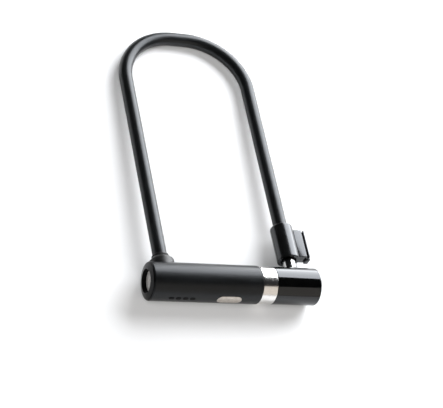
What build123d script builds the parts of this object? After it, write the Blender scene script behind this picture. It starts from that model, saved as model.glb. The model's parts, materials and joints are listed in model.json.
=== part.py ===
from build123d import *
import os
from math import cos, radians, sin

# U lock, seated and unlocked, lying on its side.
# X runs along the crossbar, +Y towards the top of the shackle, +Z is the front.
# The origin is on the crossbar's axis, midway between the two legs. Millimetres.

# Driving dimensions
LEG_SPACING = 126.0       # between the centres of the two legs
SHACKLE_TOP = 280.0       # from the crossbar's axis to the centre of the shackle's top run
BEND_R = 56.0             # of each upper bend, to the bar's centre
BAR_R = 6.0               # hardened steel bar
COAT_T = 0.5              # plastic coating on the bar
TUBE_R = 15.0             # hardened crossbar tube, outside
TUBE_WALL = 2.0
SLEEVE_R = 17.25          # soft-touch cover over the left part of the tube
HEAD_R = 17.0             # glossy cover and steel ring at the right
LEFT_END = -80.6          # outer face of the left end
RIGHT_END = 82.3          # outer face of the right end
RING_START = 24.8         # steel keyhole ring
RING_WIDTH = 14.0
FOOT_TIP = -8.0           # how far the feet reach below the crossbar's axis
BOLT_TRAVEL = 4.0         # each deadbolt's throw for a quarter turn of the key
RING_TURN = 60.0          # turn of the ring that uncovers the keyhole, degrees

# Derived places
LEG_X = LEG_SPACING / 2
BEND_Y = SHACKLE_TOP - BEND_R
COAT_R = BAR_R + COAT_T
TUBE_IR = TUBE_R - TUBE_WALL
TUBE_LEFT = LEFT_END + 6.0
TUBE_RIGHT = RIGHT_END - 5.3
RING_END = RING_START + RING_WIDTH
RING_MID = (RING_START + RING_END) / 2
RUN = 0.08                # radial clearance of a running fit
SIDE_GAP = 0.15           # gap at each side of the ring

# Sleeve, badge and end pieces
SLEEVE_START = LEFT_END + 1.9
RELIEF_COUNT = 4          # plain raised dashes
RELIEF_START = -60.0
RELIEF_PITCH = 6.6
RELIEF_SIZE = (5.2, 3.4)
RELIEF_ANGLE = 87.0       # from the front, round towards the underside
BADGE_X = (-16.8, 6.4)
BADGE_WIDTH = 9.6
BADGE_ANGLE = 88.0
BADGE_DEPTH = 0.8         # how far it is let into the sleeve
OPENING_R = 10.5          # of the left bezel
DISC_FACE = LEFT_END + 4.1
END_RECESS_R = 12.0       # shallow recess in the right end

# Seals where the legs enter
SEAL_R = COAT_R + 0.12
SEAL_NECK_R = 8.6
SEAL_TOP = 26.3
BUSH_R = COAT_R + 0.5
BUSH_TOP = 16.8

# Ring stop and grips
STOP_PIN_R = 1.0
STOP_GROOVE = 1.0         # depth of the groove inside the ring
STOP_MARGIN = 6.0         # degrees of groove beyond the pin at each limit
GRIP_R = 0.9
GRIP_ANGLES = (160, 168, 176, 184)
APERTURE_R = 6.0          # keyhole opening in the ring

# Feet, notches and deadbolts
NOTCH_HALF_Y = 4.3
NOTCH_DEPTH = 3.9
BOLT_HALF_Y = 4.0
BOLT_HALF_Z = 3.2
BOLT_BACK = 0.5           # gap between a withdrawn bolt and its foot
STRIP_Z = (5.4, 7.4)      # the bolts' flat strips, across Z
STRIP_Y = (0.3, 7.0)      # one strip above the axis, the other below it
STRIP_SLACK = 0.1
RISER_X = (45.0, 48.0)    # where strip and bolt head join, on both sides
GUIDE_INNER = 52.5        # inner face of each foot guide
GUIDE_PIN_R = 1.25
GUIDE_PIN_X = 54.4
GUIDE_PIN_Y = 8.4
PAD_T = 0.8               # rubber pad under each foot
BAR_GUIDE_X = (-28, 2)    # middles of the long bolt's moulded carriers
BAR_GUIDE_HALF = 5.0

# Key cylinder, across the tube under the ring
HOUSING_R = 7.0
HOUSING_TOP = 3.0
GRUB_R = 1.5
GRUB_Z = -4.0
GRUB_SEAT = HOUSING_R - 1.1   # the screws stop short of the plug
PLUG_R = 5.5
PLUG_FACE = -13.8
PLUG_BORE_R = 4.4
PLUG_BORE = (-12.4, -0.6)
KEYWAY = (7.0, 1.9)
DISC_COUNT = 7
DISC_T = 1.2
DISC_PITCH = 1.65
SIDEBAR_W = 1.4
CAM_Z = (3.15, 5.2)
CAM_R = 5.8
CAM_SCREW_R = 1.55        # head; its shank is CAM_SHANK_R
CAM_SHANK_R = 1.25
PIN_R = 1.2
PIN_ORBIT = BOLT_TRAVEL / (2 * sin(radians(45)))
PIN_SLACK = 0.15

# Carrier clamp on the right leg
CLAMP_Y = (27.0, 64.0)
CLAMP_R = 10.4
LINER_R = 7.4
BLOCK_X = (72.6, 84.2)
BLOCK_Y = (29.8, 58.8)
BLOCK_Z = (-6.2, 4.4)
SLOT_X = (81.0, 83.0)     # groove along the block, with a thin lip beside it
SLOT_FLOOR = 1.6
LIP_TOP = 3.8
STOP_LUG = ((80.8, 85.2), (28.2, 31.8), (-6.2, 1.6))
PARTING = 0.2             # half the gap between the two clamp halves
COAT_END_LEFT = 22.0
COAT_END_RIGHT = 33.0
CLAMP_SCREW_Y = (37.5, 51.0)
CLAMP_SCREW_X = 77.0
SCREW_R = 1.5
SCREW_HEAD_R = 2.75
SCREW_SEAT = BLOCK_Z[0] + 2.4
INSERT_R = 2.5
INSERT_TOP = 3.2


def x_cyl(r, x0, x1, y=0, z=0):
    return Pos((x0 + x1) / 2, y, z) * Rot(0, 90, 0) * Cylinder(r, abs(x1 - x0))


def y_cyl(r, y0, y1, x=0, z=0):
    return Pos(x, (y0 + y1) / 2, z) * Rot(90, 0, 0) * Cylinder(r, abs(y1 - y0))


def z_cyl(r, z0, z1, x=0, y=0):
    return Pos(x, y, (z0 + z1) / 2) * Cylinder(r, abs(z1 - z0))


def block(xs, ys, zs):
    centre = Pos((xs[0] + xs[1]) / 2, (ys[0] + ys[1]) / 2, (zs[0] + zs[1]) / 2)
    return centre * Box(abs(xs[1] - xs[0]), abs(ys[1] - ys[0]), abs(zs[1] - zs[0]))


def turned_on_x(points):
    """Solid turned about the crossbar's axis from (x, radius) points."""
    face = make_face(Polyline(*[(x, r, 0) for x, r in points], close=True))
    return revolve(face, Axis.X)


def turned_on_leg(points, x):
    """Solid turned about a leg's axis from (radius, y) points."""
    face = make_face(Polyline(*[(r, y, 0) for r, y in points], close=True))
    return Pos(x, 0, 0) * revolve(face, Axis.Y)


def about_x(shape, degrees_from_front):
    """Turn a shape made at the front (+Z) about the crossbar, towards the underside (-Y)."""
    return Rot(degrees_from_front, 0, 0) * shape


def save(node, *solids):
    shape = solids[0] if len(solids) == 1 else Compound(children=list(solids))
    export_step(shape, f"parts/{node}.step")


# Shackle -------------------------------------------------------------------

def shackle_rod(radius, y_left, y_right):
    left = Line((-LEG_X, y_left), (-LEG_X, BEND_Y))
    left_bend = CenterArc((-LEG_X + BEND_R, BEND_Y), BEND_R, 180, -90)
    top = Line((-LEG_X + BEND_R, SHACKLE_TOP), (LEG_X - BEND_R, SHACKLE_TOP))
    right_bend = CenterArc((LEG_X - BEND_R, BEND_Y), BEND_R, 90, -90)
    right = Line((LEG_X, BEND_Y), (LEG_X, y_right))
    path = Wire([left, left_bend, top, right_bend, right])
    start = Plane(origin=(-LEG_X, y_left, 0), x_dir=(1, 0, 0), z_dir=(0, 1, 0))
    return sweep(start * Circle(radius), path=path)


def shackle_bar():
    bar = shackle_rod(BAR_R, FOOT_TIP, FOOT_TIP)
    for side in (-1, 1):
        tip = [(0, FOOT_TIP), (BAR_R - 1.5, FOOT_TIP), (BAR_R, FOOT_TIP + 1.5), (BAR_R, 0), (0, 0)]
        bar -= y_cyl(BAR_R + 1, FOOT_TIP - 1, 0, x=side * LEG_X)
        bar += turned_on_leg(tip, side * LEG_X)
        inner = side * (LEG_X - BAR_R)
        bar -= block((inner - side, inner + side * NOTCH_DEPTH), (-NOTCH_HALF_Y, NOTCH_HALF_Y), (-8, 8))
    return bar


def shackle_coating():
    skin = shackle_rod(COAT_R, COAT_END_LEFT, COAT_END_RIGHT)
    return skin - shackle_rod(BAR_R, COAT_END_LEFT - 1, COAT_END_RIGHT - 1)


# Carrier clamp ---------------------------------------------------------------

def clamp_envelope():
    low, high = CLAMP_Y
    shape = turned_on_leg([(0, low), (CLAMP_R - 0.6, low), (CLAMP_R, low + 0.6), (CLAMP_R, high - 2.6),
                           (CLAMP_R - 0.7, high - 1.0), (CLAMP_R - 2.2, high), (0, high)], LEG_X)
    head = block(BLOCK_X, BLOCK_Y, BLOCK_Z)
    shape += block((LEG_X + 8, BLOCK_X[0] + 1), (BLOCK_Y[0] + 1, BLOCK_Y[1] - 1), (BLOCK_Z[0] + 1, 2.6))
    shape += fillet(head.edges().filter_by(Axis.Z), 0.8)
    lug = block(*STOP_LUG)
    shape += fillet(lug.edges().filter_by(Axis.Z), 1.2)
    shape -= block(SLOT_X, (0, 100), (SLOT_FLOOR, 10))
    shape -= block((SLOT_X[1] - 0.5, 100), (0, 100), (LIP_TOP, 10))
    return shape - y_cyl(LINER_R, 0, 100, x=LEG_X)


def clamp_half(front):
    depth = (PARTING, 20) if front else (-20, -PARTING)
    half = clamp_envelope() & block((40, 100), (20, 80), depth)
    for y in CLAMP_SCREW_Y:
        if front:
            half -= z_cyl(INSERT_R, 0, INSERT_TOP, CLAMP_SCREW_X, y)
        else:
            half -= z_cyl(SCREW_R + 0.1, -10, 0, CLAMP_SCREW_X, y)
            half -= z_cyl(SCREW_HEAD_R + 0.15, -10, SCREW_SEAT, CLAMP_SCREW_X, y)
    return half


def clamp_liner():
    ring = y_cyl(LINER_R, CLAMP_Y[0] + 3, CLAMP_Y[1] - 2, x=LEG_X)
    return ring - y_cyl(COAT_R, 0, 100, x=LEG_X)


def clamp_insert(y):
    insert = z_cyl(INSERT_R, PARTING, INSERT_TOP, CLAMP_SCREW_X, y)
    return insert - z_cyl(SCREW_R, -1, INSERT_TOP - 0.2, CLAMP_SCREW_X, y)


def clamp_screw(y):
    screw = z_cyl(SCREW_R, SCREW_SEAT - 0.1, INSERT_TOP - 0.4, CLAMP_SCREW_X, y)
    screw += z_cyl(SCREW_HEAD_R, SCREW_SEAT - 2.2, SCREW_SEAT, CLAMP_SCREW_X, y)
    return screw - extrude(Pos(CLAMP_SCREW_X, y, SCREW_SEAT - 2.3) * RegularPolygon(1.4, 6), 1.5)


# Crossbar --------------------------------------------------------------------

def crossbar_tube():
    tube = x_cyl(TUBE_R, TUBE_LEFT, TUBE_RIGHT) - x_cyl(TUBE_IR, TUBE_LEFT - 1, TUBE_RIGHT + 1)
    for side in (-1, 1):
        tube -= y_cyl(BAR_R + 0.4, 0, 20, x=side * LEG_X)
        tube -= z_cyl(GUIDE_PIN_R, -20, 20, side * GUIDE_PIN_X, GUIDE_PIN_Y)
    tube -= z_cyl(HOUSING_R, -20, 0, RING_MID)
    tube -= z_cyl(STOP_PIN_R, 0, 20, RING_MID)
    tube -= y_cyl(GRUB_R, -20, 20, x=RING_MID, z=GRUB_Z)
    return tube


def ring_stop_pin():
    """Pin in the tube that runs in the ring's inner groove and limits its turn."""
    return z_cyl(STOP_PIN_R, TUBE_IR + 0.2, TUBE_R + STOP_GROOVE - 0.2, RING_MID)


def stop_groove():
    half = STOP_PIN_R + 0.15
    low = TUBE_R - 1
    high = TUBE_R + STOP_GROOVE
    section = make_face(Polyline((RING_MID - half, low), (RING_MID + half, low),
                                 (RING_MID + half, high), (RING_MID - half, high), close=True))
    swept = revolve(section, Axis.X, revolution_arc=RING_TURN + 2 * STOP_MARGIN)
    return about_x(swept, 90 - STOP_MARGIN)


def relief_bar(x):
    """One plain raised dash, moulded into the sleeve's underside."""
    half_x, half_y = RELIEF_SIZE[0] / 2, RELIEF_SIZE[1] / 2
    dash = block((x - half_x, x + half_x), (-half_y, half_y), (SLEEVE_R - 1.5, SLEEVE_R + 0.3))
    dash = fillet(dash.edges().filter_by(Axis.Z), 1.1)
    return about_x(dash, RELIEF_ANGLE)


def crossbar_sleeve():
    end = RING_START - SIDE_GAP
    sleeve = turned_on_x([(SLEEVE_START, 0), (SLEEVE_START, SLEEVE_R - 0.4), (SLEEVE_START + 0.4, SLEEVE_R),
                          (end - 0.6, SLEEVE_R), (end, SLEEVE_R - 0.6), (end, 0)])
    for number in range(RELIEF_COUNT):
        sleeve += relief_bar(RELIEF_START + number * RELIEF_PITCH)
    sleeve -= x_cyl(TUBE_R, SLEEVE_START - 1, end + 1)
    sleeve -= y_cyl(SEAL_NECK_R, 0, 30, x=-LEG_X)
    sleeve -= badge_blank(0.0)
    return sleeve


def badge_blank(proud):
    """Curved lozenge that follows the sleeve, proud of it or flush with it."""
    shell = x_cyl(SLEEVE_R + proud + 0.01, *BADGE_X)
    shell -= x_cyl(SLEEVE_R - BADGE_DEPTH, BADGE_X[0] - 1, BADGE_X[1] + 1)
    length = BADGE_X[1] - BADGE_X[0]
    middle = (BADGE_X[0] + BADGE_X[1]) / 2
    outline = Pos(middle, 0) * SlotOverall(length, BADGE_WIDTH)
    cutter = extrude(outline, 30)
    return shell & about_x(cutter, BADGE_ANGLE)


def keyhole_ring():
    end = RING_END
    ring = turned_on_x([(RING_START, TUBE_R + RUN), (RING_START, HEAD_R - 0.3), (RING_START + 0.3, HEAD_R),
                        (end - 0.3, HEAD_R), (end, HEAD_R - 0.3), (end, TUBE_R + RUN)])
    ring -= about_x(z_cyl(APERTURE_R, 5, 25, RING_MID), 180 + RING_TURN)
    for offset in GRIP_ANGLES:
        ring -= about_x(x_cyl(GRIP_R, RING_START - 1, end + 1, z=HEAD_R + 0.5), offset)
    return ring - stop_groove()


def lock_head_cover():
    start = RING_END + SIDE_GAP
    inner_end = TUBE_RIGHT
    cover = turned_on_x([(start, TUBE_R), (start, HEAD_R - 0.4), (start + 0.4, HEAD_R),
                         (RIGHT_END - 1.2, HEAD_R), (RIGHT_END - 0.4, HEAD_R - 0.35),
                         (RIGHT_END, HEAD_R - 1.2), (RIGHT_END, END_RECESS_R),
                         (RIGHT_END - 1.2, END_RECESS_R - 0.4), (RIGHT_END - 1.2, 0),
                         (inner_end, 0), (inner_end, TUBE_R)])
    return cover - y_cyl(BUSH_R, 0, 30, x=LEG_X)


def left_end_bezel():
    """Shallow cone from the sleeve's rim up to the opening, with the disc held behind it."""
    shoulder = OPENING_R + 0.8
    return turned_on_x([(SLEEVE_START, SLEEVE_R - 0.3), (LEFT_END + 1.2, SLEEVE_R - 1.3),
                        (LEFT_END, OPENING_R + 0.6), (LEFT_END, OPENING_R + 0.3),
                        (LEFT_END + 0.35, OPENING_R), (DISC_FACE + 0.8, OPENING_R),
                        (DISC_FACE + 0.8, shoulder), (TUBE_LEFT, shoulder), (TUBE_LEFT, TUBE_R),
                        (SLEEVE_START, TUBE_R)])


def left_end_disc():
    return turned_on_x([(DISC_FACE + 0.3, 0), (DISC_FACE, 1.5), (DISC_FACE, OPENING_R - 1.0),
                        (DISC_FACE + 0.5, OPENING_R - 0.2), (DISC_FACE + 0.8, OPENING_R - 0.2),
                        (DISC_FACE + 0.8, OPENING_R + 0.8), (TUBE_LEFT, OPENING_R + 0.8), (TUBE_LEFT, 0)])


def foot_guide(side):
    """Steel block in the tube that holds one foot and steers its deadbolt."""
    outer = TUBE_LEFT if side < 0 else TUBE_RIGHT
    inner = side * GUIDE_INNER
    guide = x_cyl(TUBE_IR, min(outer, inner), max(outer, inner))
    guide -= y_cyl(BAR_R + RUN, FOOT_TIP - PAD_T, 20, x=side * LEG_X)
    guide -= block((inner - side, side * LEG_X), (-BOLT_HALF_Y - RUN, BOLT_HALF_Y + RUN),
                   (-BOLT_HALF_Z - RUN, BOLT_HALF_Z + RUN))
    return guide - z_cyl(GUIDE_PIN_R, -20, 20, side * GUIDE_PIN_X, GUIDE_PIN_Y)


def guide_pin(side):
    reach = (TUBE_R ** 2 - (GUIDE_PIN_Y + GUIDE_PIN_R) ** 2) ** 0.5 - 0.1
    return z_cyl(GUIDE_PIN_R, -reach, reach, side * GUIDE_PIN_X, GUIDE_PIN_Y)


def foot_pad(side):
    return y_cyl(BAR_R - 0.4, FOOT_TIP - PAD_T, FOOT_TIP - 0.1, x=side * LEG_X)


def left_foot_seal():
    cone = turned_on_leg([(SEAL_R, 12), (11.6, 12), (11.4, 19.4), (10.6, 20.6), (7.9, 24.0), (7.2, 24.6),
                          (7.4, 25.0), (7.7, 25.4), (7.5, SEAL_TOP - 0.3), (7.1, SEAL_TOP),
                          (SEAL_R, SEAL_TOP)], -LEG_X)
    cone -= x_cyl(SLEEVE_R, LEFT_END, 0)
    neck = turned_on_leg([(SEAL_R, 10), (SEAL_NECK_R, 10), (SEAL_NECK_R, 18.5), (SEAL_R, 18.5)], -LEG_X)
    return cone + (neck - x_cyl(TUBE_R, LEFT_END, 0))


def right_foot_bush():
    bore = BAR_R + 0.25
    bush = turned_on_leg([(bore, 10), (BUSH_R, 10), (BUSH_R, BUSH_TOP), (bore, BUSH_TOP)], LEG_X)
    return bush - x_cyl(TUBE_R, 0, RIGHT_END)


def bar_guide(x):
    """Moulded carrier that keeps the long bolt's strip in line."""
    carrier = x_cyl(TUBE_IR, x - BAR_GUIDE_HALF, x + BAR_GUIDE_HALF)
    carrier -= block((x - 6, x + 6), (STRIP_Y[0] - STRIP_SLACK, STRIP_Y[1] + STRIP_SLACK),
                     (STRIP_Z[0] - STRIP_SLACK, STRIP_Z[1] + STRIP_SLACK))
    return carrier - z_cyl(5.5, -20, 2.5, x)


# Lock mechanism --------------------------------------------------------------

def cylinder_housing():
    housing = z_cyl(HOUSING_R, -20, HOUSING_TOP, RING_MID)
    housing &= x_cyl(TUBE_R - 0.05, RING_START - 5, RING_END + 5)
    housing -= z_cyl(PLUG_R + 0.06, -20, 20, RING_MID)
    groove = z_cyl(0.7, *PLUG_BORE, RING_MID, PLUG_R)
    for side in (-1, 1):
        housing -= y_cyl(GRUB_R, side * GRUB_SEAT, side * 20, x=RING_MID, z=GRUB_Z)
    return housing - groove


def grub_screw(side):
    screw = y_cyl(GRUB_R, side * GRUB_SEAT, side * 13.6, x=RING_MID, z=GRUB_Z)
    socket = Plane(origin=(RING_MID, side * 13.8, GRUB_Z), z_dir=(0, -side, 0)) * RegularPolygon(0.85, 6)
    return screw - extrude(socket, 1.8)


def lock_plug():
    plug = z_cyl(PLUG_R, PLUG_FACE, HOUSING_TOP, RING_MID)
    plug -= z_cyl(PLUG_BORE_R, *PLUG_BORE, RING_MID)
    plug -= Pos(RING_MID, 0, PLUG_FACE) * Box(KEYWAY[1], KEYWAY[0], 4)
    plug -= block((RING_MID - 6, RING_MID - 3.5), (-SIDEBAR_W / 2, SIDEBAR_W / 2), PLUG_BORE)
    return plug - z_cyl(CAM_SHANK_R, 0.6, 4, RING_MID)


def tumbler_disc(number):
    z0 = PLUG_BORE[0] + 0.1 + number * DISC_PITCH
    disc = z_cyl(PLUG_BORE_R - 0.05, z0, z0 + DISC_T, RING_MID)
    disc -= Pos(RING_MID, 0, z0) * Box(KEYWAY[1], KEYWAY[0], 4)
    return disc


def sidebar():
    return block((RING_MID - PLUG_R + 0.15, RING_MID - PLUG_BORE_R - 0.02),
                 (-SIDEBAR_W / 2 + 0.05, SIDEBAR_W / 2 - 0.05), (PLUG_BORE[0] + 0.2, PLUG_BORE[1] - 0.2))


def drive_cam():
    cam = z_cyl(CAM_R, *CAM_Z, RING_MID) + cam_pins()
    cam -= z_cyl(CAM_SHANK_R, CAM_Z[0] - 1, CAM_Z[1] + 1, RING_MID)
    return cam - z_cyl(CAM_SCREW_R + 0.05, CAM_Z[1] - 1.0, CAM_Z[1] + 1, RING_MID)


def cam_pins():
    pins = []
    for angle in (45, 225):
        x = RING_MID + PIN_ORBIT * cos(radians(angle))
        y = PIN_ORBIT * sin(radians(angle))
        pins.append(z_cyl(PIN_R, CAM_Z[1] - 1.2, STRIP_Z[1] + 0.4, x, y))
    return pins[0] + pins[1]


def cam_screw():
    screw = z_cyl(CAM_SHANK_R, 0.6, CAM_Z[1] - 0.9, RING_MID)
    screw += z_cyl(CAM_SCREW_R, CAM_Z[1] - 1.0, CAM_Z[1] - 0.05, RING_MID)
    return screw - extrude(Pos(RING_MID, 0, CAM_Z[1] - 0.6) * RegularPolygon(0.8, 6), 1)


def deadbolt(side):
    """Bolt head, riser and flat strip in one piece, withdrawn from its foot."""
    tip = side * (LEG_X - BAR_R - BOLT_BACK)
    tongue = block((side * RISER_X[0], tip), (-BOLT_HALF_Y, BOLT_HALF_Y), (-BOLT_HALF_Z, BOLT_HALF_Z))
    tongue = chamfer(tongue.edges().filter_by(Axis.Z).group_by(Axis.X)[0 if side < 0 else -1], 0.8)
    above = -side
    strip_y = tuple(sorted(above * y for y in STRIP_Y))
    riser = block([side * x for x in RISER_X], (-BOLT_HALF_Y, BOLT_HALF_Y), (0, STRIP_Z[1]))
    pin_x = RING_MID + above * PIN_ORBIT * cos(radians(45))
    strip = block((pin_x - side * 4.0, side * RISER_X[1]), strip_y, STRIP_Z)
    half_slot = PIN_R + PIN_SLACK
    pin_low = PIN_ORBIT * sin(radians(45)) - half_slot
    fork = sorted((above * (pin_low - 2), above * (PIN_ORBIT + half_slot)))
    strip -= block((pin_x - half_slot, pin_x + half_slot), fork, (STRIP_Z[0] - 1, STRIP_Z[1] + 1))
    return tongue + riser + strip


def main():
    os.makedirs("parts", exist_ok=True)
    save("shackle_bar", shackle_bar())
    save("shackle_coating", shackle_coating())
    save("carrier_clamp_front", clamp_half(True))
    save("carrier_clamp_back", clamp_half(False))
    save("clamp_liner", clamp_liner())
    save("clamp_inserts", *[clamp_insert(y) for y in CLAMP_SCREW_Y])
    save("clamp_screws", *[clamp_screw(y) for y in CLAMP_SCREW_Y])
    save("crossbar_tube", crossbar_tube())
    save("crossbar_sleeve", crossbar_sleeve())
    save("sleeve_badge", badge_blank(0.25))
    save("keyhole_ring", keyhole_ring())
    save("ring_stop_pin", ring_stop_pin())
    save("lock_head_cover", lock_head_cover())
    save("left_end_bezel", left_end_bezel())
    save("left_end_disc", left_end_disc())
    save("left_foot_guide", foot_guide(-1))
    save("right_foot_guide", foot_guide(1))
    save("guide_pins", *[guide_pin(side) for side in (-1, 1)])
    save("foot_pads", *[foot_pad(side) for side in (-1, 1)])
    save("left_foot_seal", left_foot_seal())
    save("right_foot_bush", right_foot_bush())
    save("bar_guides", *[bar_guide(x) for x in BAR_GUIDE_X])
    save("cylinder_housing", cylinder_housing())
    save("housing_grub_screws", *[grub_screw(side) for side in (-1, 1)])
    save("lock_plug", lock_plug())
    save("tumbler_discs", *[tumbler_disc(number) for number in range(DISC_COUNT)])
    save("sidebar", sidebar())
    save("drive_cam", drive_cam())
    save("cam_screw", cam_screw())
    save("left_deadbolt", deadbolt(-1))
    save("right_deadbolt", deadbolt(1))


main()
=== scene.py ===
import json
from math import atan2, cos, pi, radians, sin, tan

import bmesh
import bpy
from mathutils import Matrix, Vector


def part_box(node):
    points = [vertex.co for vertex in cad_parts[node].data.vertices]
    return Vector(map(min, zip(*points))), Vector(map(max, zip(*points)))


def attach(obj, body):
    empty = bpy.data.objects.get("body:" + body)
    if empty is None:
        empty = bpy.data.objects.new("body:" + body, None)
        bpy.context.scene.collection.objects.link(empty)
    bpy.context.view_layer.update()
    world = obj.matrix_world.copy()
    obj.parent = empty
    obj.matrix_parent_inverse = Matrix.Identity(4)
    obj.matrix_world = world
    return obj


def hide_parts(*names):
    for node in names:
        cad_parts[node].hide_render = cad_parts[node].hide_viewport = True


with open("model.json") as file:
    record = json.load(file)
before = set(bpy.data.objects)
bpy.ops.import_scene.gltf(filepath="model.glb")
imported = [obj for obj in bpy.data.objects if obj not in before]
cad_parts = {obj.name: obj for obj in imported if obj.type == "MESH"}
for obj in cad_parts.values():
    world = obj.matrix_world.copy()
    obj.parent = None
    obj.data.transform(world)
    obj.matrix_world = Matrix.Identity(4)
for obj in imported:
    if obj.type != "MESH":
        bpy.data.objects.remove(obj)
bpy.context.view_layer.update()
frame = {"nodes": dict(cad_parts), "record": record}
MM = 0.001

# Places read from the frame, in metres
sleeve_low, sleeve_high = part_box("crossbar_sleeve")
ring_low, ring_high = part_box("keyhole_ring")
head_low, head_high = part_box("lock_head_cover")
disc_low, disc_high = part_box("left_end_disc")
tube_low, tube_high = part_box("crossbar_tube")
coat_low, coat_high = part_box("shackle_coating")
bar_low, bar_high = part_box("shackle_bar")
liner_low, liner_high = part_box("clamp_liner")
clamp_low, clamp_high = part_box("carrier_clamp_front")
screws_low, screws_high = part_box("clamp_screws")
badge_low, badge_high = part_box("sleeve_badge")
BEZEL_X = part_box("left_end_bezel")[0].x
SEAL_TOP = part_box("left_foot_seal")[1].y

SLEEVE_R = sleeve_high.z          # the raised dashes stand past it on the underside
RING_R = ring_high.y
HEAD_R = head_high.y
TUBE_R = tube_high.y
BAR_R = (bar_high.z - bar_low.z) / 2
COAT_R = (coat_high.z - coat_low.z) / 2
LEG_X = bar_high.x - BAR_R
BEND_R = 56 * MM
TOP_Y = coat_high.y - COAT_R
BEND_Y = TOP_Y - BEND_R
RING_MID = (ring_low.x + ring_high.x) / 2

# Openings and grooves, in metres
APERTURE_R = 6.0 * MM             # keyhole opening in the ring
GRIP_R = 0.9 * MM                 # of each finger groove across the ring
GRIP_OUT = 0.5 * MM               # its middle, out from the ring's surface
OPENING_R = 10.5 * MM             # of the left bezel
SEAL_NECK_R = 8.6 * MM            # hole in the sleeve for the left foot's seal
BUSH_GAP = 0.5 * MM               # round the coating, in the head's hole
NOTCH_HALF_Y = 4.3 * MM           # notch in each foot
NOTCH_DEPTH = 3.9 * MM

# Angles from the front, round towards the underside, in degrees
APERTURE_ANGLE = 240
GRIP_ANGLES = (160, 168, 176, 184)
BADGE_ANGLE = 88
RELIEF_ANGLE = 87

# Plain badge and raised dashes on the sleeve, in metres
BADGE_HEIGHT = 0.25 * MM
ROLLED_EDGE = 0.2 * MM
RELIEF_COUNT = 4
RELIEF_START = -60.0 * MM
RELIEF_PITCH = 6.6 * MM
RELIEF_LENGTH = 5.2 * MM
RELIEF_WIDTH = 3.4 * MM
RELIEF_HEIGHT = 0.3 * MM

# Carrier clamp: opposite corners of its blocks, in millimetres
CLAMP_NECK = (71.0, 30.8, -5.2), (74.0, 57.8, 2.6)
CLAMP_FACE = (72.6, 29.8, -6.2), (81.0, 58.8, 4.4)
CLAMP_GROOVE_FLOOR = (80.0, 30.3, -6.2), (83.6, 58.3, 1.6)
CLAMP_LIP = (83.0, 29.8, -6.2), (84.2, 58.8, 3.8)
CLAMP_LUG = (80.8, 28.2, -6.2), (85.2, 31.8, 1.6)
CLAMP_PARTING = 0.2               # half the gap between the front and the back
SCREW_HEAD_R = (screws_high.x - screws_low.x) / 2
SCREW_X = screws_high.x - SCREW_HEAD_R
SCREW_Y = (screws_low.y + SCREW_HEAD_R, screws_high.y - SCREW_HEAD_R)
SCREW_HOLE_R = 1.6 * MM
SCREW_SEAT = -3.8 * MM

# Camera, at the photograph's angle
VIEW_TARGET = Vector((-11.4, 60.3, 36.7)) * MM
VIEW_DISTANCE = 1.4069
VIEW_AZIMUTH = radians(36.84)
VIEW_ELEVATION = radians(48.48)
VIEW_ROLL = radians(32.64)
VIEW_LENS = 128.9

FLOOR_REACH = 6.0
SEGMENTS = 192                    # round the crossbar's pieces
BAR_SEGMENTS = 96                 # round the shackle's bar
SHARP = radians(35)               # an edge bent more than this stays sharp
MERGE = 1e-7                      # vertices nearer than this are one
COOL = (0.93, 0.96, 1.0, 1.0)     # tint of the black plastics' reflections


# Node materials ---------------------------------------------------------------

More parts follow.
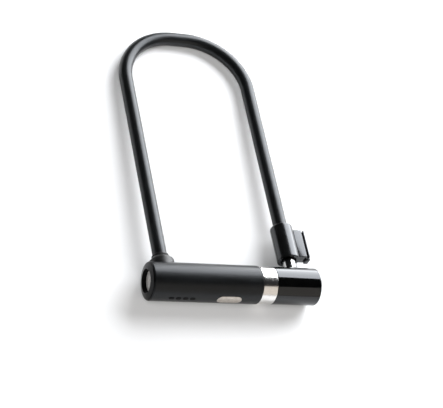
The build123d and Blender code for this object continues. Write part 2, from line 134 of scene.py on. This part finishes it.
class Shader:
    """One principled material whose varying inputs are built from a few chained nodes."""

    def __init__(self, name, base, roughness, metallic=0.0, **sockets):
        self.material = bpy.data.materials.new(name)
        self.material.use_nodes = True
        self.tree = self.material.node_tree
        self.surface = self.tree.nodes["Principled BSDF"]
        self.set("Base Color", (*base, 1.0))
        self.set("Roughness", roughness)
        self.set("Metallic", metallic)
        for socket, value in sockets.items():
            self.set(socket.replace("_", " "), value)
        self.place = self.node("ShaderNodeTexCoord").outputs["Object"]

    def set(self, socket, value):
        self.surface.inputs[socket].default_value = value

    def node(self, kind, **settings):
        made = self.tree.nodes.new(kind)
        for key, value in settings.items():
            setattr(made, key, value)
        return made

    def link(self, source, target):
        self.tree.links.new(source, target)

    def noise(self, scale, detail=3.0, rough=0.55, stretch=(1, 1, 1)):
        """Noise from 0 to 1, drawn out along an axis whose stretch is under 1."""
        mapping = self.node("ShaderNodeMapping")
        mapping.inputs["Scale"].default_value = stretch
        self.link(self.place, mapping.inputs["Vector"])
        made = self.node("ShaderNodeTexNoise")
        made.inputs["Scale"].default_value = scale
        made.inputs["Detail"].default_value = detail
        made.inputs["Roughness"].default_value = rough
        self.link(mapping.outputs["Vector"], made.inputs["Vector"])
        return made.outputs["Fac"]

    def axis_distance(self):
        """Distance from the crossbar's axis."""
        parts = self.node("ShaderNodeSeparateXYZ")
        self.link(self.place, parts.inputs[0])
        y, z = parts.outputs["Y"], parts.outputs["Z"]
        square = self.math("ADD", self.math("MULTIPLY", y, y), self.math("MULTIPLY", z, z))
        return self.math("SQRT", square)

    def math(self, operation, *values):
        made = self.node("ShaderNodeMath", operation=operation)
        for value, socket in zip(values, made.inputs):
            if isinstance(value, float):
                socket.default_value = value
            else:
                self.link(value, socket)
        return made.outputs[0]

    def colours(self, source, first, last):
        """Base colour that runs from one (position, colour) stop to the other."""
        ramp = self.node("ShaderNodeValToRGB")
        for element, (position, colour) in zip(ramp.color_ramp.elements, (first, last)):
            element.position = position
            element.color = (*colour, 1.0)
        self.link(source, ramp.inputs["Fac"])
        self.link(ramp.outputs["Color"], self.surface.inputs["Base Color"])

    def rough(self, source, low, high):
        """Roughness from low to high over the middle of the source's range."""
        made = self.node("ShaderNodeMapRange")
        made.inputs["From Min"].default_value = 0.3
        made.inputs["From Max"].default_value = 0.7
        made.inputs["To Min"].default_value = low
        made.inputs["To Max"].default_value = high
        self.link(source, made.inputs["Value"])
        self.link(made.outputs["Result"], self.surface.inputs["Roughness"])

    def bump(self, source, height, strength=1.0):
        """Chains one more bump, with its height in metres, onto the normal."""
        made = self.node("ShaderNodeBump")
        made.inputs["Distance"].default_value = height
        made.inputs["Strength"].default_value = strength
        self.link(source, made.inputs["Height"])
        socket = self.surface.inputs["Normal"]
        if socket.is_linked:
            self.link(socket.links[0].from_socket, made.inputs["Normal"])
        self.link(made.outputs["Normal"], socket)
        return self


def grey(level, warm=0.0):
    """A grey, with its red a little up and its blue a little down as it gets warmer."""
    return (level * (1 + warm), level, level * (1 - warm))


def soft_touch_black():
    """The sleeve's plastic, with the faint streaks of its moulding along X."""
    made = Shader("soft_touch_black", grey(0.004), 0.34, Specular_IOR_Level=0.28, Specular_Tint=COOL)
    made.colours(made.noise(55, 4), (0.3, grey(0.003, -0.05)), (0.7, grey(0.006, -0.1)))
    streaks = made.noise(900, 3, 0.6, stretch=(0.05, 1, 1))
    made.rough(streaks, 0.28, 0.40)
    made.bump(made.noise(2600, 2), 0.00003, 0.55)
    return made.bump(streaks, 0.00003, 0.35).material


def relief_black():
    """The sleeve's plastic where it is moulded smooth."""
    made = Shader("relief_black", grey(0.002), 0.5, Specular_IOR_Level=0.08)
    made.colours(made.noise(90, 3), (0.3, grey(0.0015)), (0.7, grey(0.003)))
    made.rough(made.noise(500, 3), 0.44, 0.56)
    return made.bump(made.noise(1500, 2), 0.00001, 0.3).material


def satin_coat():
    made = Shader("satin_coat", grey(0.004), 0.33, Specular_IOR_Level=0.38, Specular_Tint=COOL)
    made.colours(made.noise(40, 3), (0.3, grey(0.003, -0.05)), (0.7, grey(0.006, -0.1)))
    made.rough(made.noise(220, 4), 0.29, 0.39)
    made.bump(made.noise(750, 2), 0.00006, 0.45)
    return made.bump(made.noise(3200, 2), 0.00002, 0.35).material


def gloss_black(name, specular):
    made = Shader(name, grey(0.001), 0.06, Specular_IOR_Level=specular, Specular_Tint=COOL)
    made.colours(made.noise(60, 3), (0.35, grey(0.0008)), (0.7, grey(0.002)))
    made.rough(made.noise(420, 5, 0.65), 0.045, 0.10)
    return made.bump(made.noise(160, 2), 0.00004, 0.12).material


def polished_ring():
    made = Shader("polished_ring", grey(0.74, 0.02), 0.18, metallic=1.0)
    made.colours(made.noise(70, 3), (0.3, grey(0.70, 0.025)), (0.7, grey(0.79, 0.015)))
    lines = made.noise(2400, 3, 0.6, stretch=(1, 0.03, 0.03))
    made.rough(lines, 0.12, 0.24)
    return made.bump(lines, 0.00001, 0.35).material


def polished_steel():
    made = Shader("polished_steel", grey(0.50, 0.01), 0.16, metallic=1.0)
    made.colours(made.noise(90, 4), (0.3, grey(0.44, 0.01)), (0.7, grey(0.58, 0.01)))
    lines = made.noise(1800, 3, 0.6, stretch=(0.06, 1, 0.06))
    made.rough(lines, 0.12, 0.24)
    return made.bump(lines, 0.00001, 0.3).material


def turned_disc():
    made = Shader("turned_disc", grey(0.45, 0.03), 0.40, metallic=0.3)
    groove_pitch = 0.28 * MM
    rings = made.math("SINE", made.math("MULTIPLY", made.axis_distance(), 2 * pi / groove_pitch))
    made.colours(made.noise(420, 5, 0.7), (0.35, grey(0.32, 0.04)), (0.65, grey(0.56, 0.03)))
    made.rough(made.noise(600, 4), 0.34, 0.48)
    return made.bump(rings, 0.000006, 0.5).material


def seal_rubber():
    made = Shader("seal_rubber", grey(0.006), 0.42, Specular_IOR_Level=0.45)
    made.colours(made.noise(180, 5, 0.65), (0.35, grey(0.005)), (0.75, grey(0.012)))
    made.rough(made.noise(500, 4), 0.36, 0.50)
    return made.bump(made.noise(2200, 3), 0.00005, 0.5).material


def moulded_black():
    made = Shader("moulded_black", grey(0.004), 0.20, Specular_IOR_Level=0.56, Specular_Tint=COOL)
    made.colours(made.noise(120, 4), (0.3, grey(0.003)), (0.7, grey(0.006, -0.05)))
    made.rough(made.noise(350, 4), 0.16, 0.24)
    return made.bump(made.noise(900, 2), 0.00002, 0.2).material


def warm_satin_metal():
    made = Shader("warm_satin_metal", grey(0.46, 0.10), 0.30, metallic=1.0)
    made.colours(made.noise(300, 4), (0.3, grey(0.40, 0.11)), (0.7, grey(0.52, 0.09)))
    lines = made.noise(3000, 3, 0.6, stretch=(0.04, 1, 1))
    made.rough(lines, 0.24, 0.38)
    return made.bump(lines, 0.00001, 0.4).material


def machined(name, base, roughness, spread, stretch=(1, 1, 0.05)):
    """Plain machined metal of the inner pieces, with tool marks and slight staining."""
    made = Shader(name, base, roughness, metallic=1.0)
    darker = tuple(channel * 0.82 for channel in base)
    made.colours(made.noise(260, 4), (0.3, darker), (0.7, base))
    marks = made.noise(1600, 3, 0.6, stretch=stretch)
    made.rough(marks, roughness - spread, roughness + spread)
    return made.bump(marks, 0.000015, 0.5).material


def moulded_grey(name, level, roughness):
    made = Shader(name, grey(level), roughness)
    made.colours(made.noise(200, 4), (0.3, grey(level * 0.8)), (0.7, grey(level * 1.2)))
    made.rough(made.noise(700, 3), roughness - 0.07, roughness + 0.08)
    return made.bump(made.noise(1800, 2), 0.00003, 0.4).material


def pale_floor():
    made = Shader("pale_floor", grey(0.84), 0.75, Specular_IOR_Level=0.2)
    made.colours(made.noise(6, 3), (0.3, grey(0.82)), (0.7, grey(0.86)))
    made.rough(made.noise(40, 2), 0.7, 0.8)
    return made.material


# Mesh building ------------------------------------------------------------------

def millimetres(value):
    return value / MM


def rounded(corners, steps=6):
    """Profile from (along, radius, fillet) corners in mm, with a support point at each end of a fillet."""
    count = len(corners)
    outline = []
    for index, (along, radius, fillet) in enumerate(corners):
        here = Vector((along, radius))
        if fillet == 0:
            outline.append(here)
            continue
        before = Vector(corners[index - 1][:2]) - here
        after = Vector(corners[(index + 1) % count][:2]) - here
        half = before.angle(after) / 2
        reach = fillet / tan(half)
        support = 0.35 * fillet
        centre = here + (before.normalized() + after.normalized()).normalized() * (fillet / sin(half))
        start = here + before.normalized() * reach
        end = here + after.normalized() * reach
        outline.append(start + before.normalized() * support)
        first = atan2(start.y - centre.y, start.x - centre.x)
        sweep = atan2(end.y - centre.y, end.x - centre.x) - first
        sweep = (sweep + pi) % (2 * pi) - pi
        for step in range(steps + 1):
            angle = first + sweep * step / steps
            outline.append(centre + Vector((cos(angle), sin(angle))) * fillet)
        outline.append(end + after.normalized() * support)
    return [point * MM for point in outline]


ALONG_X = Matrix.Identity(4)


def along_leg(x):
    """Turns the lathe's own X axis onto a leg's line, at that x."""
    return Matrix.Translation((x, 0, 0)) @ Matrix.Rotation(pi / 2, 4, "Z")


def shade(bm):
    """Smooth faces, with the sharp edges kept."""
    for face in bm.faces:
        face.smooth = True
    for edge in bm.edges:
        edge.smooth = len(edge.link_faces) == 2 and edge.calc_face_angle() < SHARP


def finish_mesh(name, bm, material):
    bmesh.ops.remove_doubles(bm, verts=bm.verts, dist=MERGE)
    bmesh.ops.recalc_face_normals(bm, faces=bm.faces)
    shade(bm)
    mesh = bpy.data.meshes.new(name)
    bm.to_mesh(mesh)
    bm.free()
    made = bpy.data.objects.new(name, mesh)
    bpy.context.scene.collection.objects.link(made)
    mesh.materials.append(material)
    return made


def bridge(bm, first, second):
    """Faces between two rings of vertices, either of which may be a single point."""
    count = max(len(first), len(second))
    for index in range(count):
        after = (index + 1) % count
        if len(first) == 1:
            bm.faces.new((first[0], second[after], second[index]))
        elif len(second) == 1:
            bm.faces.new((first[index], first[after], second[0]))
        else:
            bm.faces.new((first[index], first[after], second[after], second[index]))


def lathe_mesh(profile, place=ALONG_X, closed=True, segments=SEGMENTS):
    bm = bmesh.new()
    turns = [2 * pi * step / segments for step in range(segments)]
    rings = []
    for along, radius in profile:
        if radius < MERGE:
            rings.append([bm.verts.new(place @ Vector((along, 0, 0)))])
            continue
        ring = [Vector((along, radius * cos(turn), radius * sin(turn))) for turn in turns]
        rings.append([bm.verts.new(place @ point) for point in ring])
    pairs = list(zip(rings, rings[1:]))
    if closed:
        pairs.append((rings[-1], rings[0]))
    for first, second in pairs:
        if len(first) > 1 or len(second) > 1:
            bridge(bm, first, second)
    return bm


def lathe(name, profile, material, place=ALONG_X, closed=True, segments=SEGMENTS):
    return finish_mesh(name, lathe_mesh(profile, place, closed, segments), material)


def cylinder_cutter(start, end, radius, segments=96):
    """Solid to cut with: a cylinder between two points."""
    start, end = Vector(start), Vector(end)
    turn = (end - start).to_track_quat("X", "Z").to_matrix().to_4x4()
    length = (end - start).length
    profile = [(0, 0), (0, radius), (length, radius), (length, 0)]
    bm = lathe_mesh(profile, Matrix.Translation(start) @ turn, closed=False, segments=segments)
    return finish_mesh("cutter", bm, None)


def box_solid(low, high, bevel=0.0):
    """Solid to cut with or to add: a box between two corners, with its edges rounded by bevel."""
    low, high = Vector(low), Vector(high)
    bm = bmesh.new()
    place = Matrix.Translation((low + high) / 2) @ Matrix.Diagonal((*(high - low), 1))
    bmesh.ops.create_cube(bm, size=1, matrix=place)
    if bevel:
        bmesh.ops.bevel(bm, geom=bm.edges[:], offset=bevel, segments=4, profile=0.5, affect="EDGES")
    return finish_mesh("box", bm, None)


def mm_box(low, high, bevel=0.0):
    return box_solid(Vector(low) * MM, Vector(high) * MM, bevel * MM)


def combine(piece, others, operation="DIFFERENCE"):
    """Boolean of piece with each of the others, applied, and its shading set again."""
    for other in others:
        modifier = piece.modifiers.new("cut", "BOOLEAN")
        modifier.operation = operation
        modifier.solver = "EXACT"
        modifier.object = other
        shape = piece.evaluated_get(bpy.context.evaluated_depsgraph_get())
        mesh = bpy.data.meshes.new_from_object(shape)
        piece.modifiers.clear()
        piece.data = mesh
        bpy.data.objects.remove(other)
    bm = bmesh.new()
    bm.from_mesh(piece.data)
    bmesh.ops.remove_doubles(bm, verts=bm.verts, dist=2 * MERGE)
    shade(bm)
    bm.to_mesh(piece.data)
    bm.free()
    return piece


def place_piece(piece, body, slot, *nodes):
    """Hangs the piece on the body it rides on, and hides the nodes that it stands for. Its slot argument
    is not used.
    """
    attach(piece, body)
    if nodes:
        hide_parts(*nodes)
    return piece


# Shackle ------------------------------------------------------------------------------

def shackle_line(y_left, y_right, arc_steps=56, leg_steps=12):
    """Points on the bar's centre line, each with the direction out of the U."""
    line = []
    for step in range(leg_steps):
        y = y_left + (BEND_Y - y_left) * step / leg_steps
        line.append((Vector((-LEG_X, y, 0)), Vector((-1, 0, 0))))
    for side, first, last in ((-1, pi, pi / 2), (1, pi / 2, 0)):
        centre = Vector((side * (LEG_X - BEND_R), BEND_Y, 0))
        for step in range(arc_steps + 1):
            angle = first + (last - first) * step / arc_steps
            out = Vector((cos(angle), sin(angle), 0))
            line.append((centre + out * BEND_R, out))
    for step in range(1, leg_steps + 1):
        y = BEND_Y + (y_right - BEND_Y) * step / leg_steps
        line.append((Vector((LEG_X, y, 0)), Vector((1, 0, 0))))
    return line


def swept_rings(bm, line, radius, shift=0.0):
    """One ring of vertices about each point of the line, moved along Y by shift."""
    up = Vector((0, 0, 1))
    turns = [2 * pi * step / BAR_SEGMENTS for step in range(BAR_SEGMENTS)]
    rings = []
    for point, out in line:
        centre = point + Vector((0, shift, 0))
        rings.append([bm.verts.new(centre + (out * cos(a) + up * sin(a)) * radius) for a in turns])
    return rings


def shackle_coat(material):
    """Tube of coating with a rounded lower end, open inside."""
    line = shackle_line(coat_low.y, liner_low.y + 2 * MM)
    lip, lip_steps = 0.35 * MM, 4
    bm = bmesh.new()
    rings = []
    for step in range(lip_steps + 1):
        angle = pi / 2 * step / lip_steps
        radius = COAT_R - lip * (1 - sin(angle))
        rings += swept_rings(bm, line[:1], radius, lip * (1 - cos(angle)))
    rings += swept_rings(bm, line[1:], COAT_R)
    rings += reversed(swept_rings(bm, line, BAR_R))
    for first, second in zip(rings, rings[1:] + rings[:1]):
        bridge(bm, first, second)
    piece = finish_mesh("shackle_coat", bm, material)
    return place_piece(piece, "shackle", "shackle_coat", "shackle_coating")


def shackle_steel(material):
    """Bar with chamfered feet and a notch in the inner side of each."""
    line = shackle_line(bar_low.y, bar_low.y)
    edge = 1.5 * MM
    bm = bmesh.new()
    ends = line[:1], line[-1:]
    rings = swept_rings(bm, ends[0], BAR_R - edge) + swept_rings(bm, ends[0], BAR_R, edge)
    rings += swept_rings(bm, line[1:-1], BAR_R)
    rings += swept_rings(bm, ends[1], BAR_R, edge) + swept_rings(bm, ends[1], BAR_R - edge)
    for first, second in zip(rings, rings[1:]):
        bridge(bm, first, second)
    bm.faces.new(rings[0])
    bm.faces.new(rings[-1])
    piece = finish_mesh("shackle_steel", bm, material)
    notches = []
    for side in (-1, 1):
        inner = side * (LEG_X - BAR_R)
        near, deep = sorted((inner - side * MM, inner + side * NOTCH_DEPTH))
        notches.append(box_solid((near, -NOTCH_HALF_Y, -2 * BAR_R), (deep, NOTCH_HALF_Y, 2 * BAR_R)))
    combine(piece, notches)
    return place_piece(piece, "shackle", "polished_steel", "shackle_bar")


# Crossbar pieces --------------------------------------------------------------------

def crossbar_sleeve(material):
    """Thin shell with points along its outside, so that it shades evenly."""
    start, end = millimetres(sleeve_low.x), millimetres(sleeve_high.x)
    outer, inner = millimetres(SLEEVE_R), millimetres(TUBE_R)
    steps = 24
    side = [Vector((start + (end - start) * step / steps, outer)) * MM for step in range(3, steps)]
    corners = rounded([(start, outer, 1.2), (end, outer, 0.6), (end, inner, 0), (start, inner, 0)])
    half = len(corners) // 2 - 1
    profile = corners[:half] + side + corners[half:]
    piece = lathe("crossbar_sleeve_shell", profile, material)
    combine(piece, [cylinder_cutter((-LEG_X, 0, 0), (-LEG_X, 2 * SLEEVE_R, 0), SEAL_NECK_R)])
    return place_piece(piece, "crossbar", "soft_touch_sleeve", "crossbar_sleeve")


def outwards(degrees):
    """Direction out of the crossbar's axis, at an angle from the front towards the underside."""
    return Vector((0, -sin(radians(degrees)), cos(radians(degrees))))


def keyhole_ring(material):
    """Band with the keyhole's opening and grooves for the fingers."""
    start, end = millimetres(ring_low.x), millimetres(ring_high.x)
    clearance = 0.08
    outer, inner = millimetres(RING_R), millimetres(TUBE_R) + clearance
    profile = rounded([(start, outer, 0.35), (end, outer, 0.35), (end, inner, 0.15), (start, inner, 0.15)])
    piece = lathe("keyhole_ring_band", profile, material)
    out = outwards(APERTURE_ANGLE)
    middle = Vector((RING_MID, 0, 0))
    cutters = [cylinder_cutter(middle + out * TUBE_R / 2, middle + out * 1.5 * RING_R, APERTURE_R)]
    for degrees in GRIP_ANGLES:
        grip = outwards(degrees) * (RING_R + GRIP_OUT)
        cutters.append(cylinder_cutter(grip + Vector((ring_low.x - MM, 0, 0)),
                                       grip + Vector((ring_high.x + MM, 0, 0)), GRIP_R, 40))
    combine(piece, cutters)
    return place_piece(piece, "ring", "ring_steel", "keyhole_ring")


def lock_head(material):
    """Cup over the tube's right end, with a shallow recess in its face and a hole for the right leg."""
    start, end = millimetres(head_low.x), millimetres(head_high.x)
    outer, inner = millimetres(HEAD_R), millimetres(TUBE_R)
    wall = millimetres(tube_high.x)
    recess = end - 1.2
    profile = rounded([(recess, 0, 0), (recess, 11.6, 0.3), (end, 12.2, 0.35), (end, outer, 1.1),
                       (start, outer, 0.4), (start, inner, 0), (wall, inner, 0), (wall, 0, 0)])
    piece = lathe("lock_head_shell", profile, material, closed=False)
    combine(piece, [cylinder_cutter((LEG_X, 0, 0), (LEG_X, 2 * HEAD_R, 0), COAT_R + BUSH_GAP)])
    return place_piece(piece, "crossbar", "gloss_cover", "lock_head_cover")


def end_bezel(material):
    """Shallow cone that ends in the rim of a round opening, and the wall that holds the disc."""
    left, start = millimetres(BEZEL_X), millimetres(sleeve_low.x)
    outer, seat, opening = millimetres(SLEEVE_R), millimetres(TUBE_R), millimetres(OPENING_R)
    disc, back = millimetres(disc_low.x), millimetres(tube_low.x)
    wall = opening + 0.8
    profile = rounded([(start, outer - 0.3, 0.1), (left + 1.2, outer - 1.3, 0.9),
                       (left, opening + 0.5, 0.3), (left + 0.25, opening, 0.2), (disc + 0.8, opening, 0),
                       (disc + 0.8, wall, 0), (back, wall, 0), (back, seat, 0), (start, seat, 0)])
    piece = lathe("end_bezel", profile, material)
    return place_piece(piece, "crossbar", "gloss_cover", "left_end_bezel")


def end_disc(material):
    """Plain turned disc with a shallow dimple, held by the step behind the bezel's opening."""
    front, back = millimetres(disc_low.x), millimetres(disc_high.x)
    rim = millimetres(OPENING_R) - 0.2
    step, flange = front + 0.8, rim + 0.9
    profile = rounded([(front + 0.25, 0, 0), (front + 0.25, 1.2, 0), (front, 1.6, 0.15), (front, rim, 0.6),
                       (step, rim, 0), (step, flange, 0), (back, flange, 0), (back, 0, 0)])
    piece = lathe("end_disc", profile, material, closed=False)
    return place_piece(piece, "crossbar", "end_disc_metal", "left_end_disc")


def foot_seal(material):
    """Rubber cone with a lip, shaped to the sleeve below it."""
    top = millimetres(SEAL_TOP)
    bore = millimetres(COAT_R) + 0.12
    profile = rounded([(11, bore, 0), (11, 11.5, 0), (20.0, 11.45, 1.0), (23.9, 7.75, 0.6),
                       (24.6, 7.15, 0.3), (25.1, 7.7, 0.2), (top, 7.65, 0.4), (top, bore, 0.12)])
    piece = lathe("left_foot_seal_cone", profile, material, along_leg(-LEG_X))
    combine(piece, [cylinder_cutter((sleeve_low.x, 0, 0), (0, 0, 0), SLEEVE_R, SEGMENTS)])
    return place_piece(piece, "crossbar", "seal_rubber", "left_foot_seal")


def wrapped_capsule(name, length, width, thickness, middle, degrees, material):
    """Rounded plate bent round the sleeve: length along X, width round the bar, and a rolled edge."""
    bm = bmesh.new()
    half = width / 2
    spine = (length - width) / 2
    sunk = -0.25 * MM
    edge_steps, end_steps = 4, 16
    levels = [(half, sunk), (half, thickness - ROLLED_EDGE)]
    for step in range(1, edge_steps + 1):
        turn = pi / 2 * step / edge_steps
        levels.append((half - ROLLED_EDGE * (1 - cos(turn)), thickness - ROLLED_EDGE * (1 - sin(turn))))
    levels += [(half * share, thickness) for share in (0.75, 0.5, 0.25, 0)]

    def wrap(along, around, height):
        turn = radians(degrees) + around / SLEEVE_R
        radius = SLEEVE_R + height
        return bm.verts.new((middle + along, -radius * sin(turn), radius * cos(turn)))

    def loop(distance, height):
        points = []
        for side, first in ((1, -pi / 2), (-1, pi / 2)):
            for step in range(end_steps + 1):
                turn = first + pi * step / end_steps
                points.append(wrap(side * spine + distance * cos(turn), distance * sin(turn), height))
        return points

    loops = [loop(*level) for level in levels]
    for first, second in zip(loops, loops[1:]):
        bridge(bm, first, second)
    bm.faces.new(loops[0])
    return finish_mesh(name, bm, material)


def badge(material):
    length, width = badge_high.x - badge_low.x, badge_high.z - badge_low.z
    middle = (badge_low.x + badge_high.x) / 2
    piece = wrapped_capsule("plain_badge", length, width, BADGE_HEIGHT, middle, BADGE_ANGLE, material)
    return place_piece(piece, "crossbar", "badge_metal", "sleeve_badge")


def relief_dashes(material):
    """Plain raised dashes, moulded into the sleeve."""
    for number in range(RELIEF_COUNT):
        middle = RELIEF_START + RELIEF_PITCH * number
        piece = wrapped_capsule(f"relief_dash_{number + 1}", RELIEF_LENGTH, RELIEF_WIDTH, RELIEF_HEIGHT,
                                middle, RELIEF_ANGLE, material)
        place_piece(piece, "crossbar", "soft_touch_sleeve")


# Carrier clamp -------------------------------------------------------------------------

def clamp_shape(material):
    """Ring on the leg, and beside it a block with a groove, a thin lip and a lug at its lower end."""
    low, high = millimetres(clamp_low.y), millimetres(clamp_high.y)
    outer, inner = millimetres(clamp_high.z), millimetres(liner_high.z)
    profile = rounded([(low, outer, 0.6), (high - 1.8, outer, 2.2), (high, outer - 2.0, 0.4),
                       (high, inner, 0.15), (low, inner, 0.2)])
    ring = lathe("clamp", profile, material, along_leg(LEG_X), segments=160)
    neck = mm_box(*CLAMP_NECK)
    face = mm_box(*CLAMP_FACE, 0.5)
    groove_floor = mm_box(*CLAMP_GROOVE_FLOOR)
    lip = mm_box(*CLAMP_LIP, 0.4)
    lug = mm_box(*CLAMP_LUG, 0.9)
    return combine(ring, [neck, face, groove_floor, lip, lug], "UNION")


def clamp_half(name, node, material, front):
    """The clamp's shape with its other half cut away, and with the screws' holes in the back."""
    piece = clamp_shape(material)
    away = (-50, CLAMP_PARTING) if front else (-CLAMP_PARTING, 50)
    cutters = [mm_box((30, 10, away[0]), (100, 90, away[1]))]
    if not front:
        for y in SCREW_Y:
            behind = (SCREW_X, y, -20 * MM)
            cutters.append(cylinder_cutter(behind, (SCREW_X, y, 10 * MM), SCREW_HOLE_R, 48))
            cutters.append(cylinder_cutter(behind, (SCREW_X, y, SCREW_SEAT), SCREW_HEAD_R + 0.15 * MM, 64))
    combine(piece, cutters)
    piece.name = name
    return place_piece(piece, "shackle", "clamp_plastic", node)


# Stage, lights and camera ---------------------------------------------------------------

def floor():
    """Touches the crossbar below and the top of the shackle, which lies a little tilted."""
    tilt = (SLEEVE_R - COAT_R) / TOP_Y
    bm = bmesh.new()
    bmesh.ops.create_grid(bm, x_segments=1, y_segments=1, size=FLOOR_REACH)
    bmesh.ops.transform(bm, matrix=Matrix.Translation((0, 0, -SLEEVE_R)), verts=bm.verts)
    bmesh.ops.rotate(bm, cent=(0, 0, 0), matrix=Matrix.Rotation(tilt, 3, "X"), verts=bm.verts)
    piece = finish_mesh("floor", bm, pale_floor())


def panel(name, place, aim, width, height, power, colour=(1, 1, 1), seen=True):
    """Area light that the camera never sees, and that shows in reflections only if seen."""
    light = bpy.data.lights.new(name, "AREA")
    light.shape = "RECTANGLE"
    light.size = width
    light.size_y = height
    light.energy = power
    light.color = colour
    made = bpy.data.objects.new(name, light)
    made.location = place
    made.rotation_euler = (Vector(aim) - Vector(place)).to_track_quat("-Z", "Y").to_euler()
    made.visible_camera = False
    made.visible_glossy = seen
    bpy.context.scene.collection.objects.link(made)


def lights():
    panel("key_panel", (0.80, 0.80, 0.57), (0, 0, 0), 1.20, 1.37, 52, (0.95, 0.97, 1.0))
    panel("low_panel", (0.55, -0.98, 0.46), (0, 0, 0), 1.30, 1.05, 3.6, (1.0, 0.92, 0.83))
    panel("floor_fill", (-1.1, -1.2, 1.5), (0, 0.1, 0), 2.0, 2.0, 44, seen=False)
    world = bpy.data.worlds.new("studio")
    world.use_nodes = True
    world.node_tree.nodes["Background"].inputs["Color"].default_value = (0.012, 0.012, 0.013, 1)
    bpy.context.scene.world = world


def camera():
    lens = bpy.data.cameras.new("camera")
    lens.lens = VIEW_LENS
    lens.sensor_width = 36
    lens.clip_end = 30
    made = bpy.data.objects.new("camera", lens)
    level = cos(VIEW_ELEVATION)
    forward = Vector((sin(VIEW_AZIMUTH) * level, cos(VIEW_AZIMUTH) * level, -sin(VIEW_ELEVATION)))
    turn = forward.to_track_quat("-Z", "Y").to_matrix().to_4x4()
    made.matrix_world = (Matrix.Translation(VIEW_TARGET - forward * VIEW_DISTANCE) @ turn
                         @ Matrix.Rotation(VIEW_ROLL, 4, "Z"))
    bpy.context.scene.collection.objects.link(made)
    bpy.context.scene.camera = made


# Carried-over pieces -----------------------------------------------------------------------

def finish_nodes(materials):
    """Gives each CAD node the material of its slot, where one is given."""
    for subpart in frame["record"]["subparts"]:
        if subpart["material_slot"] in materials:
            mesh = frame["nodes"][subpart["node"]].data
            mesh.materials.clear()
            mesh.materials.append(materials[subpart["material_slot"]])


def build():
    soft_touch = soft_touch_black()
    gloss = gloss_black("gloss_black", 0.5)
    coat = satin_coat()
    clamp = moulded_black()
    rubber = seal_rubber()
    steel_bar = polished_steel()
    finish_nodes({
        "polished_steel": steel_bar,
        "tube_steel": machined("tube_steel", grey(0.40), 0.30, 0.08, (0.05, 1, 1)),
        "inner_steel": machined("inner_steel", grey(0.52), 0.32, 0.08),
        "cylinder_brass": machined("cylinder_brass", (0.70, 0.52, 0.24), 0.30, 0.08),
        "insert_brass": machined("insert_brass", (0.72, 0.55, 0.27), 0.28, 0.06),
        "plug_nickel": machined("plug_nickel", grey(0.60, 0.03), 0.25, 0.06, (0.05, 0.05, 1)),
        "dark_screw": machined("dark_screw", grey(0.10), 0.38, 0.08),
        "soft_rubber": moulded_grey("liner_rubber", 0.02, 0.62),
        "bush_plastic": moulded_grey("bush_plastic", 0.03, 0.42),
        "shackle_coat": coat,
        "soft_touch_sleeve": soft_touch,
        "gloss_cover": gloss,
        "seal_rubber": rubber,
        "clamp_plastic": clamp,
    })
    shackle_steel(steel_bar)
    shackle_coat(coat)
    crossbar_sleeve(soft_touch)
    relief_dashes(relief_black())
    keyhole_ring(polished_ring())
    lock_head(gloss)
    end_bezel(gloss_black("bezel_black", 0.10))
    end_disc(turned_disc())
    foot_seal(rubber)
    badge(warm_satin_metal())
    clamp_half("carrier_clamp_front_shell", "carrier_clamp_front", clamp, True)
    clamp_half("carrier_clamp_back_shell", "carrier_clamp_back", clamp, False)


build()
floor()
lights()
camera()
bpy.context.scene.view_settings.view_transform = "Standard"
